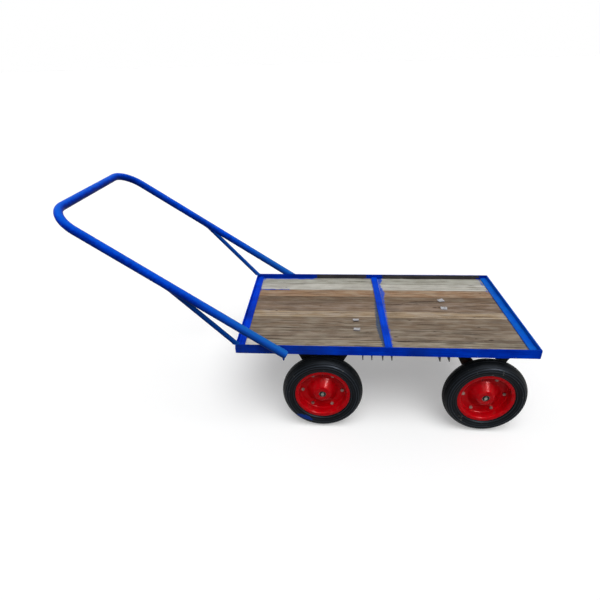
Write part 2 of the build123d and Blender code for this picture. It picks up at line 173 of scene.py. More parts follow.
# The right rail is rubbed to a dull navy towards the handle. What lies across the cart, end rails and
# straps, dried paler to the front.
enamel_lengthwise = blue_enamel(
    "blue_enamel_brushed_lengthwise", lengthwise_stroke, 250 * mm, -150 * mm, "#1A2F66", 0.6
)
enamel_crosswise = blue_enamel(
    "blue_enamel_brushed_crosswise", crosswise_stroke, 250 * mm, 930 * mm, "#0F66C4", 0.75
)

strap_low, strap_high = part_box("strap_middle")
strap_x = (strap_low.x + strap_high.x) / 2
bare_from = 55 * mm
bare_to = 890 * mm
bare_to_strap = 42 * mm
brush_stop = 3 * mm
ragged_stop = 14 * mm
mill_scale = (60 * mm, 9 * mm, 9 * mm)
mill_scale_roughness = 0.6
painted_shade_inside = 0.45


# The inner face of the left rail was hardly brushed: dark mill scale shows on both sides of the
# middle strap, with a ragged edge where the brush stopped.
def half_brushed_enamel():
    material, tree, place = new_material("blue_enamel_left_bare_inside")
    paint, roughness, relief = brushed_enamel(tree, place, lengthwise_stroke)
    ragged = blotches(tree, place, ragged_stop, 4, 0.3, 0.7, ragged_stop, -ragged_stop)
    along = add(tree, "Math", {0: add(tree, "SeparateXYZ", {0: place}), 1: ragged}, operation="ADD")
    from_strap = add(tree, "Math", {0: along, 1: strap_x}, operation="SUBTRACT")
    from_strap = add(tree, "Math", {0: from_strap}, operation="ABSOLUTE")
    inward = add(tree, "SeparateXYZ", {0: add(tree, "NewGeometry", out="Normal")}, out="Y")
    bare = add(tree, "MapRange", {"Value": inward, "From Min": -0.6, "From Max": -0.9})
    limits = ((along, bare_from, 1), (along, bare_to, -1), (from_strap, bare_to_strap, 1))
    for distance, limit, side in limits:
        past = {"Value": distance, "From Min": limit, "From Max": limit + side * brush_stop}
        bare = add(tree, "Math", {0: bare, 1: add(tree, "MapRange", past)}, operation="MULTIPLY")
    scale = drawn_noise(tree, place, mill_scale, 4)
    steel = add(tree, "Mix", {0: scale, 6: linear("#1E2125"), 7: linear("#4E4A48")}, **of_colours)
    # The paint is darkened all over with navy: painted shade, for an inner face that stands partly in
    # shade.
    paint = add(tree, "Mix", {0: painted_shade_inside, 6: paint, 7: linear("#0A1C54")}, **of_colours)
    colour = add(tree, "Mix", {0: bare, 6: paint, 7: steel}, **of_colours)
    roughness = add(tree, "Mix", {0: bare, 2: roughness, 3: mill_scale_roughness})
    surface(tree, colour, roughness, relief, enamel_film, **enamel_gloss)
    return material


give(enamel_lengthwise, "side_rail_right")
give(half_brushed_enamel(), "side_rail_left")
give(enamel_crosswise, "end_rail_rear", "end_rail_front")

# Corner welds: beads up the four outer corners of the frame, painted over with the rails.
# Arc welds by hand, with a ripple for each drop of the rod.
weld_drop = 3 * mm
ripple_steps = 3
ripple = 0.16
wobble = 0.25
wobble_length = 8 * mm
corner_bead = 2.4 * mm


def seam_line(start, end):
    """Points along a straight seam, a few for each drop of weld."""
    steps = ceil((end - start).length / weld_drop * ripple_steps)
    return [start.lerp(end, step / steps) for step in range(steps + 1)]


def seam_turns(radius):
    """Angles round a ring of weld, a few for each drop."""
    steps = ceil(tau * radius / weld_drop) * ripple_steps
    return [tau * step / steps for step in range(steps)]


def put(name, data):
    """An object with its data, put in the scene."""
    piece = bpy.data.objects.new(name, data)
    bpy.context.collection.objects.link(piece)
    return piece


def select_only(piece):
    bpy.ops.object.select_all(action="DESELECT")
    piece.select_set(True)
    bpy.context.view_layer.objects.active = piece


def weld(name, seams, thickness, material, ring=False):
    """Beads of weld along seams, drawn as thick rippled lines and made a mesh."""
    curve = bpy.data.curves.new(name, "CURVE")
    curve.dimensions = "3D"
    curve.bevel_depth = thickness / 2
    curve.bevel_resolution = 1
    curve.use_fill_caps = True
    for seam in seams:
        line = curve.splines.new("POLY")
        line.points.add(len(seam) - 1)
        line.use_cyclic_u = ring
        for step, place in enumerate(seam):
            line.points[step].co = (*place, 1)
            swell = ripple * cos(tau * step / ripple_steps) + wobble * noise.noise(place / wobble_length)
            line.points[step].radius = 1 + swell
    bead = put(name, curve)
    select_only(bead)
    bpy.ops.object.convert(target="MESH")
    bead.data.materials.append(material)
    bpy.ops.object.shade_smooth()
    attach(bead, "frame")


rail_low, rail_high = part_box("side_rail_right")
frame_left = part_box("side_rail_left")[1].y
corner_seams = []
for corner_x in (rail_low.x, rail_high.x):
    for corner_y in (-frame_left, frame_left):
        foot = Vector((corner_x, corner_y, rail_low.z + weld_drop))
        corner_seams.append(seam_line(foot, Vector((corner_x, corner_y, rail_high.z - weld_drop))))
weld("frame_corner_welds", corner_seams, corner_bead, enamel_crosswise)


# Undercarriage: seven channel bearers under the deck and four plates that carry the axles.
# Hot rolled steel with a thin coat of black paint, rusting through in blotches, all welded.
def black_paint():
    material, tree, place = new_material("thin_black_paint_on_rusty_steel")
    grain = add(tree, "TexNoise", {"Vector": place, "Scale": 1 / (4 * mm), "Detail": 3})
    paint = add(tree, "Mix", {0: grain, 6: linear("#101113"), 7: linear("#1F1F20")}, **of_colours)
    brown = add(tree, "Mix", {0: grain, 6: linear("#33200F"), 7: linear("#664028")}, **of_colours)
    rust = blotches(tree, place, 35 * mm, 5, 0.54, 0.68, 0.45)
    edge = add(tree, "Math", {0: worn_edges(tree, 2 * mm), 1: grain}, operation="MULTIPLY")
    rust = add(tree, "Math", {0: rust, 1: edge}, operation="MAXIMUM")
    colour = add(tree, "Mix", {0: rust, 6: paint, 7: brown}, **of_colours)
    roughness = add(tree, "MapRange", {"Value": rust, "To Min": 0.5, "To Max": 0.88})
    relief = add(tree, "Math", {0: grain, 1: rust}, operation="ADD")
    surface(tree, colour, roughness, relief, 0.5 * mm, Specular_IOR_Level=0.25)
    return material


black_steel = black_paint()
bearers = [f"axle_bearer_{end}_{number}" for end in ("rear", "front") for number in (1, 2)]
bearers += [f"cross_bearer_{place}" for place in ("rear", "middle", "front")]
wheels = [f"{end}_{side}" for end in ("rear", "front") for side in ("right", "left")]
brackets = [f"axle_bracket_{wheel}" for wheel in wheels]
give(black_steel, *bearers, *brackets)
bracket_weld = 40 * mm
carriage_bead = 5 * mm
carriage_seams = []
for bearer in bearers:
    low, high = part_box(bearer)
    for end_y in (low.y, high.y):
        start = Vector((low.x, end_y, high.z))
        carriage_seams.append(seam_line(start, Vector((high.x, end_y, high.z))))
for bracket in brackets:
    low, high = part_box(bracket)
    for face_y in (low.y, high.y):
        for start_x in (low.x, high.x - bracket_weld):
            start = Vector((start_x, face_y, high.z))
            carriage_seams.append(seam_line(start, start + Vector((bracket_weld, 0, 0))))
weld("undercarriage_welds", carriage_seams, carriage_bead, black_steel)


# Axles: bars through the plates, turned down at the ends for the bearings and grooved for circlips.
# Bare turned steel, black with old grease but for the middle of its ends, and welded to each plate; round
# that bright middle the black is also painted shade of the hub's recess.
ring_length = 40 * mm
clean_radius = 5 * mm
grease_and_shade_radius = 8 * mm
axle_bead = 4.5 * mm


def bare_steel(name, dark, light, dullness, ring_width, axle=None):
    """Steel with the rings that a tool left round the axle, stained, and black off the axle's middle:
    grease, and painted shade of the recess round its end.
    """
    material, tree, place = new_material(name)
    rings = drawn_noise(tree, place, (ring_length, ring_width, ring_length), 3)
    stain = add(tree, "TexNoise", {"Vector": place, "Scale": 1 / (12 * mm), "Detail": 4})
    tone = add(tree, "Math", {0: rings, 1: stain}, operation="ADD")
    colour = lay(tree, linear(dark), linear(light), tone, 0.7, 1.3)
    if axle is not None:
        off_axle = add(tree, "VectorMath", {0: place, 1: axle}, operation="SUBTRACT")
        off_axle = add(tree, "VectorMath", {0: off_axle, 1: (1, 0, 1)}, operation="MULTIPLY")
        reach = add(tree, "VectorMath", {0: off_axle}, out="Value", operation="LENGTH")
        # Black beyond a few mm of the axle's line: grease on the bar, and painted shade round the axle's
        # bright end in the hub's recess.
        colour = lay(tree, colour, linear("#0C0D0C"), reach, clean_radius, grease_and_shade_radius, 0.95)
    spread = {**noise_range, "To Min": dullness, "To Max": dullness + 0.2}
    roughness = add(tree, "MapRange", {"Value": stain, **spread})
    surface(tree, colour, roughness, rings, 0.15 * mm, Metallic=1.0)
    return material


# The bearings are ground bright, and the circlips are blackened spring steel.
ground_steel = bare_steel("ground_bearing_steel", "#5F5F5D", "#8C8C88", 0.25, 0.8 * mm)
give(ground_steel, "bearing_inner_rings")
give(bare_steel("blackened_spring_steel", "#161617", "#2C2C2C", 0.4, 1 * mm), "axle_circlips")
axle_seams = []
for end in ("rear", "front"):
    low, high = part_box(f"axle_{end}")
    axle = (low + high) / 2
    axle_radius = (high.z - low.z) / 2
    grease_and_shade_steel = bare_steel(f"turned_{end}_axle_steel", "#5C605A", "#8E948A", 0.35, 1.2 * mm, axle)
    give(grease_and_shade_steel, f"axle_{end}")
    for side in ("right", "left"):
        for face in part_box(f"axle_bracket_{end}_{side}"):
            ring = [Vector((cos(turn), 0, sin(turn))) for turn in seam_turns(axle_radius)]
            axle_seams.append([Vector((axle.x, face.y, axle.z)) + axle_radius * spoke for spoke in ring])
weld("axle_welds", axle_seams, axle_bead, black_steel, ring=True)

# Planks: nine reused boards laid lengthwise under the straps, each from another job.
# Sawn softwood, weathered on top: raised fibres, drying cracks, knots and rubbed edges,
# with blue enamel brushed over the wood beside the straps.
board_step = 1.7 * mm
cuts_along = 15
cuts_upright = 3
edge_wander = 0.7 * mm
edge_rub = 0.6 * mm
edge_reach = 2 * mm
splinter_depth = 3.5 * mm
splinter_from = 0.4
fibre_height = 0.3 * mm
board_warp = 0.4 * mm
crack_depth = 2.6 * mm
crack_taper = 40 * mm
crack_wander = 3 * mm
grain_bend = 4 * mm
knot_length_to_width = 2.2
knot_core = 0.6
# How many waves of the wear come to a metre, along the board and across it where both count.
grain_waves = (2.5, 9)
fibre_waves = (9, 420)
warp_waves = (3, 8)
crack_waves = 9
edge_waves = 14
splinter_waves = 21
board_marks = ("grain", "crack", "knot", "edge", "paint", "wash_and_shade")


def select_edges(mesh, axis):
    """Select the edges that run along an axis, for the next operator."""
    form = bmesh.from_edit_mesh(mesh)
    for edge in form.edges:
        run = edge.verts[1].co - edge.verts[0].co
        edge.select_set(abs(run[axis]) > 0.99 * run.length)
    bmesh.update_edit_mesh(mesh)


def sawn_board(name, low, high):
    """A board cut to size, divided finely enough to take its wear."""
    size = high - low
    bpy.ops.mesh.primitive_cube_add(size=1, location=(low + high) / 2, scale=size)
    bpy.ops.object.transform_apply()
    board = bpy.context.object
    board.name = name
    bpy.ops.object.mode_set(mode="EDIT")
    bpy.ops.mesh.select_mode(type="EDGE")
    cuts_across = round(size.y / board_step)
    for axis, cuts in ((0, cuts_along), (0, cuts_along), (1, cuts_across), (2, cuts_upright)):
        select_edges(board.data, axis)
        bpy.ops.mesh.subdivide(number_cuts=cuts)
    bpy.ops.object.mode_set(mode="OBJECT")
    return board


# How far the enamel was brushed over the wood beside the straps, in mm, at places across the deck.
spill_beside_straps = (
    (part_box("strap_rear")[1].x, 1,
     ((346, 24), (330, 12), (300, 4), (-346, 2))),
    (strap_high.x, 1,
     ((346, 22), (320, 25), (276, 10), (247, 11), (204, 20), (165, 23), (110, 12), (-58, 8),
      (-135, 4), (-225, 6), (-346, 2))),
    (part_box("strap_front")[0].x, -1,
     ((346, 12), (318, 7), (276, 12), (246, 5), (205, 9), (165, 2), (130, 6), (60, 1), (5, 5),
      (-100, 1), (-180, 4), (-346, 2))),
)
# A thin wash of enamel beside the middle strap, with its widths in mm. Its dark colour is also painted
# shade beside the strap.
thin_spill_and_shade_beside_strap = ((346, 3), (120, 3), (60, 9), (-20, 13), (-150, 20), (-240, 15), (-346, 9))
rail_wall = 4 * mm
far_edge_paint = 16 * mm
far_edge_paint_to = 38 * mm
painted_joint = 203.5 * mm
painted_joint_half = 5 * mm
painted_joint_to = -85 * mm


def width_across(y, places):
    """A width at a place across the deck, between those given in mm."""
    for (far, far_width), (near, near_width) in zip(places, places[1:]):
        if y / mm >= near:
            share = (far - y / mm) / (far - near)
            return (far_width + share * (near_width - far_width)) * mm
    return places[-1][1] * mm


def brushed_over(x, y):
    """How far inside the enamel a point of the deck lies, and how far inside the thin wash of it, which
    is darkened as painted shade.
    """
    from_left_rail = frame_left - rail_wall - y
    paint = min(far_edge_paint - from_left_rail, far_edge_paint_to - x)
    paint = max(paint, min(painted_joint_half - abs(y - painted_joint), painted_joint_to - x))
    for edge_x, side, places in spill_beside_straps:
        if (x - edge_x) * side > 0:
            paint = max(paint, width_across(y, places) - abs(x - edge_x))
    wash_and_shade = -brush_stroke
    if x < strap_x:
        wash_and_shade = width_across(y, thin_spill_and_shade_beside_strap) - (strap_low.x - x)
    return paint, wash_and_shade


def weather(board, low, high, cracks, knots, seed):
    """Wear a board: edges wander and rub off, fibres stand up, cracks open and knots stand proud."""
    middle = (low + high) / 2
    half = (high.y - low.y) / 2
    marks = {name: [] for name in board_marks}
    # The other numbers in a noise keep boards, sides, cracks and kinds of wear apart.
    for vertex in board.data.vertices:
        x, y, z = vertex.co
        across = y - middle.y
        line = across + grain_bend * noise.noise((x * grain_waves[0], seed, across * grain_waves[1]))
        knot = 0.0
        for knot_x, knot_y, radius in knots:
            off_x = (x - knot_x) / knot_length_to_width
            off_y = y - knot_y
            reach = off_x**2 + off_y**2
            line -= off_y * radius**2 / (reach + knot_core * radius**2)
            knot = max(knot, 1 - sqrt(reach) / radius)
        crack = 0.0
        for start, end, start_y, end_y, width in cracks:
            if start < x < end:
                path = start_y + (end_y - start_y) * (x - start) / (end - start)
                path += crack_wander * noise.noise((x * crack_waves, start_y * 90, seed))
                taper = min(1, (x - start) / crack_taper, (end - x) / crack_taper)
                crack = max(crack, taper * exp(-(((y - path) / width) ** 2)))
        side = 1 if across > 0 else -1
        to_edge = max(half - abs(across), 0)
        wander = edge_wander * (0.5 + 0.5 * noise.noise((x * edge_waves, side * 5, seed)))
        splinter = noise.noise((x * splinter_waves, side * 9, seed + 3)) - splinter_from
        splinter = splinter_depth * max(0, splinter)
        rub = (edge_rub + splinter) * exp(-to_edge / edge_reach)
        fibre = fibre_height * (1 + noise.noise((x * fibre_waves[0], line * fibre_waves[1], seed)))
        warp = noise.noise((x * warp_waves[0], across * warp_waves[1], seed + 7))
        warp = board_warp * (1 + warp)
        top = (z - low.z) / (high.z - low.z)
        vertex.co.y = y - side * wander * (abs(across) / half) ** 4
        vertex.co.z = z - top * (rub + fibre + warp + crack_depth * crack - fibre_height * knot)
        values = (line, crack, knot, exp(-to_edge / edge_reach), *brushed_over(x, y))
        for name, value in zip(marks, values):
            marks[name].append(value)
    for name, values in marks.items():
        board.data.attributes.new(name, "FLOAT", "POINT").data.foreach_set("value", values)


# Weathered softwood: bands of early and late growth along the board, fine fibres, grey bloom and
# stains, dark cracks and knots, grime at the edges, and ragged enamel or a thin, dark wash of it that is
# also painted shade beside the middle strap.
# The last board's rear end is bleached almost white, beside the right arm's foot.
bleached_board = 9
bleached_to = -165 * mm
bleach_fade = 20 * mm
wood_roughness = 0.85
grain_through_board = 30 * mm
ragged_paint = 7 * mm
paint_edge = (-0.5 * mm, 2.5 * mm)


def weathered_softwood(number, light, dark, bloom, line):
    material, tree, place = new_material(f"weathered_softwood_board_{number}")
    along = add(tree, "SeparateXYZ", {0: place})
    marks = {name: add(tree, "Attribute", out="Fac", attribute_name=name) for name in board_marks}
    growth = add(tree, "CombineXYZ", {0: along, 1: marks["grain"], 2: along.node.outputs["Z"]})
    # Noises with their sizes along and across the board, in mm.
    noises = {}
    for name, source, length, width, detail in (
        ("band", growth, 420, 11, 3),
        ("fibre", growth, 70, 1.8, 4),
        ("streak", growth, 110, 6, 4),
        ("vein", growth, 300, 8, 5),
        ("pale", growth, 80, 7, 4),
        ("bloom", place, 70, 22, 5),
        ("stain", place, 160, 45, 5),
        ("scuff", place, 13, 6, 4),
        ("bristle", place, 26, 4, 4),
    ):
        sizes = (length * mm, width * mm, grain_through_board)
        noises[name] = drawn_noise(tree, source, sizes, detail, number)
    tone = add(tree, "Math", {0: noises["band"], 1: noises["fibre"]}, operation="ADD")
    colour = lay(tree, linear(dark), linear(light), tone, 0.78, 1.22)
    for mark, start, end, most, tint in (
        (noises["bloom"], 0.42, 0.66, 0.7, bloom),
        (noises["stain"], 0.52, 0.7, 0.4, line),
        (noises["pale"], 0.56, 0.68, 0.55, light),
        (noises["streak"], 0.55, 0.68, 0.6, line),
        (noises["vein"], 0.57, 0.64, 0.6, line),
        (noises["scuff"], 0.62, 0.74, 0.5, bloom),
        (marks["knot"], 0.1, 0.6, 0.85, "#2B1A10"),
        (marks["edge"], 0.3, 1.0, 0.6, line),
        (marks["crack"], 0.15, 0.7, 0.95, "#21160E"),
    ):
        colour = lay(tree, colour, linear(tint), mark, start, end, most)
    if number == bleached_board:
        white_from = bleached_to - bleach_fade
        colour = lay(tree, colour, linear("#E2DED8"), along, bleached_to, white_from, 0.85)
    shift = {"From Min": 0.25, "From Max": 0.75, "To Min": -ragged_paint, "To Max": ragged_paint}
    ragged = add(tree, "MapRange", {"Value": noises["bristle"], **shift})
    roughness = wood_roughness
    for mark, most, thin, thick, gloss in (
        # The wash's dark blue-grey is thin enamel and also painted shade beside the middle strap.
        (marks["wash_and_shade"], 0.85, "#27404C", "#0B3362", 0.6),
        (marks["paint"], 0.97, "#00389C", "#004CCC", 0.42),
    ):
        inside = add(tree, "Math", {0: mark, 1: ragged}, operation="ADD")
        edge = {"From Min": paint_edge[0], "From Max": paint_edge[1], "To Max": most}
        cover = add(tree, "MapRange", {"Value": inside, **edge})
        enamel = add(tree, "Mix", {0: noises["fibre"], 6: linear(thin), 7: linear(thick)}, **of_colours)
        colour = add(tree, "Mix", {0: cover, 6: colour, 7: enamel}, **of_colours)
        roughness = add(tree, "Mix", {0: cover, 2: roughness, 3: gloss})
    relief = add(tree, "Math", {0: noises["fibre"], 1: noises["streak"]}, operation="SUBTRACT")
    surface(tree, colour, roughness, relief, 0.6 * mm, Specular_IOR_Level=0.2)
    return material


# Each board, from left to right: its light and dark wood, its grey bloom and its dark lines, then its
# knots (along, across, radius) and plain cracks (start, end, across at both, width), by deck place in mm.
boards = (
    ("#B0AFA6", "#8B897B", "#B8B7AE", "#6C685C", (),
     ((420, 760, 316, 314, 1.4), (500, 690, 296, 298, 1.2), (-150, -90, 296, 291, 2.2),
      (40, 330, 306, 304, 1.2))),
    ("#BEBCB5", "#9D998D", "#C6C4BC", "#7C776B", ((-104, 228, 4),),
     ((-100, 10, 271, 272, 2.4), (560, 880, 226, 224, 1.2))),
    ("#9F8265", "#7B5A40", "#A4927C", "#5E4230", ((852, 176, 4),), ((420, 600, 160, 158, 1.2),)),
    ("#7A6551", "#564230", "#807362", "#3A2B20", ((530, 84, 5), (629, 84, 7)),
     ((-126, 332, 125, 126, 2.0), (480, 640, 80, 92, 2.8), (100, 300, 100, 98, 1.2))),
    ("#8A7562", "#624E3C", "#908174", "#44352A", ((75, 30, 4), (527, 62, 5), (605, 26, 7), (626, 30, 6)),
     ((405, 490, 45, 75, 2.0), (600, 880, 20, 16, 1.3), (-200, 90, 50, 48, 1.2),
      (-210, -120, -3, -14, 2.0))),
    ("#A9957B", "#806A4F", "#ADA193", "#5F4B36", ((-130, -22, 4), (760, -62, 4)),
     ((690, 860, -60, -58, 1.2), (660, 898, -20, -26, 1.8))),
    ("#867461", "#5F4D3C", "#8C8273", "#42342A", ((755, -147, 5), (470, -96, 4)),
     ((480, 700, -128, -126, 1.3), (-120, 180, -140, -138, 1.2), (110, 230, -105, -138, 1.6))),
    ("#8B7B6A", "#5E4E3E", "#978C7C", "#3B3027",
     ((392, -236, 7), (717, -241, 4), (775, -250, 7), (560, -190, 4)),
     ((545, 620, -176, -200, 1.8), (610, 760, -200, -204, 1.6), (670, 722, -228, -262, 1.8),
      (-120, 60, -194, -190, 2.4), (720, 905, -252, -250, 1.4))),
    ("#968A78", "#6C5E4A", "#A09888", "#4A3E31", ((640, -318, 4),),
     ((368, 470, -268, -269, 3.5), (368, 725, -271, -274, 2.4), (600, 900, -296, -300, 1.6),
      (80, 300, -310, -308, 1.4))),
)
# Each board also has some fine cracks at places of its own.
fine_cracks = 5
fine_crack_lengths = (120 * mm, 400 * mm)
fine_crack_widths = (0.8 * mm, 1.2 * mm)
fine_crack_from_end = 200 * mm
fine_crack_from_edge = 6 * mm
seed_step = 3.7
for number, (light, dark, bloom, line, knots, cracks) in enumerate(boards, 1):
    low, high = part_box(f"plank_{number}")
    knots = [[size * mm for size in knot] for knot in knots]
    cracks = [[size * mm for size in crack] for crack in cracks]
    wear = random.Random(number)
    for _ in range(fine_cracks):
        start = wear.uniform(low.x, high.x - fine_crack_from_end)
        across = wear.uniform(low.y + fine_crack_from_edge, high.y - fine_crack_from_edge)
        end = start + wear.uniform(*fine_crack_lengths)
        cracks.append((start, end, across, across, wear.uniform(*fine_crack_widths)))
    board = sawn_board(f"weathered_plank_{number}", low, high)
    weather(board, low, high, cracks, knots, number * seed_step)
    board.data.materials.append(weathered_softwood(number, light, dark, bloom, line))
    select_only(board)
    bpy.ops.object.shade_smooth_by_angle(angle=radians(50))
    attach(board, "frame")
    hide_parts(f"plank_{number}")

# Straps: three flat bars over the planks that hold them down, at both ends and near the middle.
# Mild steel, welded to the rails at each end and painted with them.
straps = ("strap_rear", "strap_middle", "strap_front")
give(enamel_crosswise, *straps)
strap_bead = 4 * mm
bead_inset = strap_bead / 3
strap_seams = []
for strap in straps:
    low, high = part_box(strap)
    for end_y in (low.y + bead_inset, high.y - bead_inset):
        start = Vector((low.x + strap_bead, end_y, high.z))
        strap_seams.append(seam_line(start, Vector((high.x - strap_bead, end_y, high.z))))
weld("strap_welds", strap_seams, strap_bead, enamel_crosswise)


# Patches: four offcuts of galvanised sheet nailed over holes in the planks.
# Dull zinc with a faint spangle, cut with snips, bent by hand and dented by the hammer, with painted
# shade along the near edges.
def galvanised_sheet():
    material, tree, place = new_material("dull_galvanised_sheet")
    spangle = add(tree, "TexVoronoi", {"Vector": place, "Scale": 1 / (5 * mm)}, out="Color")
    tint = add(tree, "SeparateColor", {0: spangle})
    grime = add(tree, "TexNoise", {"Vector": place, "Scale": 1 / (7 * mm), "Detail": 4})
    zinc = add(tree, "Mix", {0: tint, 6: linear("#86878B"), 7: linear("#B4B3B5")}, **of_colours)
    dirt_and_shade = add(tree, "MapRange", {"Value": grime, "From Min": 0.5, "From Max": 0.75, "To Max": 0.4})
    # Painted shade: darker from each patch's near edge on, as the shadow under a lifted edge. The grime
    # noise is dirt.
    near_shade = add(tree, "Attribute", out="Fac", attribute_name="near_shade")
    dirt_and_shade = add(tree, "Math", {0: dirt_and_shade, 1: near_shade}, operation="MAXIMUM")
    colour = add(tree, "Mix", {0: dirt_and_shade, 6: zinc, 7: linear("#4E474A")}, **of_colours)
    roughness = add(tree, "MapRange", {"Value": grime, **noise_range, "To Min": 0.45, "To Max": 0.7})
    surface(tree, colour, roughness, grime, 0.3 * mm, Metallic=0.2)
    return material


zinc_sheet = galvanised_sheet()
patch_sheet = 1 * mm
patch_squares = 16
near_shade_cover = 0.9
dent_depth = 0.6 * mm
dent_waves = 4
cut_wander = 0.09
cut_waves = 2.2
nail_head = 4.5 * mm
nail_lift = 0.4 * mm
nail_flatness = 0.35
near_steepness = 3
corner_steepness = 1.6
# Where bends begin, how soon the painted shade fades and where the nails are, in shares of a patch's
# size.
near_bend_from = 0.1
corner_bend_from = 0.35
near_shade_fade = 0.15
nail_places = ((-0.34, 0.3), (0.34, 0.3))
patch_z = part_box("mending_patches")[0].z
deck_middle = (rail_low.x + rail_high.x) / 2
patch_parts = []
# Each patch by its place on the deck, its length and width and its turn, how high its near edge and
# a corner of it stand up, and what share of it has painted shade, from the near edge on.
for along, across, length, width, turn, near_lift, corner_lift, shaded_share in (
    (314, 95, 28, 28, 14, 1.0, 2.5, 0.25),
    (311, 18, 28, 28, -9, 0.5, 1.0, 0.15),
    (-100, -105, 26, 27, 4, 5.0, 0.5, 0.6),
    (-100, -184, 28, 26, -6, 2.5, 1.5, 0.4),
):
    centre = Vector((deck_middle + along * mm, across * mm, patch_z))
    bpy.ops.mesh.primitive_grid_add(x_subdivisions=patch_squares, y_subdivisions=patch_squares, size=1)
    sheet = bpy.context.object
    near_shade = []
    for vertex in sheet.data.vertices:
        x, y, _ = vertex.co
        near_shade.append(near_shade_cover * min(1, max(0, (shaded_share - 0.5 - y) / near_shade_fade)))
        lift = near_lift * max(0, near_bend_from - y) ** 2 * near_steepness
        lift += corner_lift * max(0, x + y - corner_bend_from) * corner_steepness
        dent = 0.5 * noise.noise((x * dent_waves, y * dent_waves, across)) + 0.5
        ragged = 1 + cut_wander * noise.noise((x * cut_waves, y * cut_waves, along))
        height = lift * mm + dent_depth * dent
        vertex.co = (x * length * ragged * mm, y * width * ragged * mm, height)
    sheet.data.attributes.new("near_shade", "FLOAT", "POINT").data.foreach_set("value", near_shade)
    sheet.data.transform(Matrix.Translation(centre) @ Matrix.Rotation(radians(turn), 4, "Z"))
    solidify = sheet.modifiers.new("sheet", "SOLIDIFY")
    solidify.thickness = patch_sheet
    solidify.offset = 1
    bpy.ops.object.modifier_apply(modifier="sheet")
    patch_parts.append(sheet)
    for nail_x, nail_y in nail_places:
        bpy.ops.mesh.primitive_uv_sphere_add(segments=16, ring_count=8, radius=nail_head / 2)
        nail = bpy.context.object
        offset = Vector((nail_x * length * mm, nail_y * width * mm, patch_sheet + nail_lift))
        flatten = Matrix.Diagonal((1, 1, nail_flatness, 1))
        nail.data.transform(Matrix.Translation(centre + offset) @ flatten)
        patch_parts.append(nail)
select_only(patch_parts[0])
for part in patch_parts:
    part.select_set(True)
bpy.ops.object.join()
nailed_patches = bpy.context.object
nailed_patches.name = "nailed_patches"
nailed_patches.data.materials.append(zinc_sheet)
bpy.ops.object.shade_smooth_by_angle(angle=radians(40))
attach(nailed_patches, "frame")
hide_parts("mending_patches")

# Handle: one steel tube bent to a loop, its two arms welded to the outer faces of the side rails,
# with a thin stay from each rear corner of the deck up to its arm. Same blue enamel with marks in no
# one direction, with a painted highlight on top and painted shade below, greener by the deck and
# duller on the stays.
tube_mark = 14 * mm


def enamel_painted_lit_and_shaded(name, start, end, faded, faded_highlight):
    """Enamel with a painted highlight on top and painted shade below, that fades to other colours from a
    start to an end.
    """
    material, tree, place = new_material(name)
    paint, roughness, relief = brushed_enamel(tree, place, (tube_mark, tube_mark, tube_mark))
    along = add(tree, "SeparateXYZ", {0: place})
    fading = add(tree, "MapRange", {"Value": along, "From Min": start, "From Max": end, "To Max": 0.9})
    paint = add(tree, "Mix", {0: fading, 6: paint, 7: linear(faded)}, **of_colours)
    painted_highlight = add(tree, "Mix", {0: fading, 6: linear("#1462DC"), 7: linear(faded_highlight)}, **of_colours)
    upward = add(tree, "SeparateXYZ", {0: add(tree, "NewGeometry", out="Normal")}, out="Z")
    # Painted light: a paler blue on faces that look up is a painted highlight, and dark navy on faces
    # that look down is painted shade.
    for level, full, most, tint in ((0.4, 0.9, 0.75, painted_highlight), (0.55, -0.3, 0.65, linear("#041C54"))):
        paint = lay(tree, paint, tint, upward, level, full, most)
    surface(tree, paint, roughness, relief, enamel_film, **enamel_gloss)
    return material


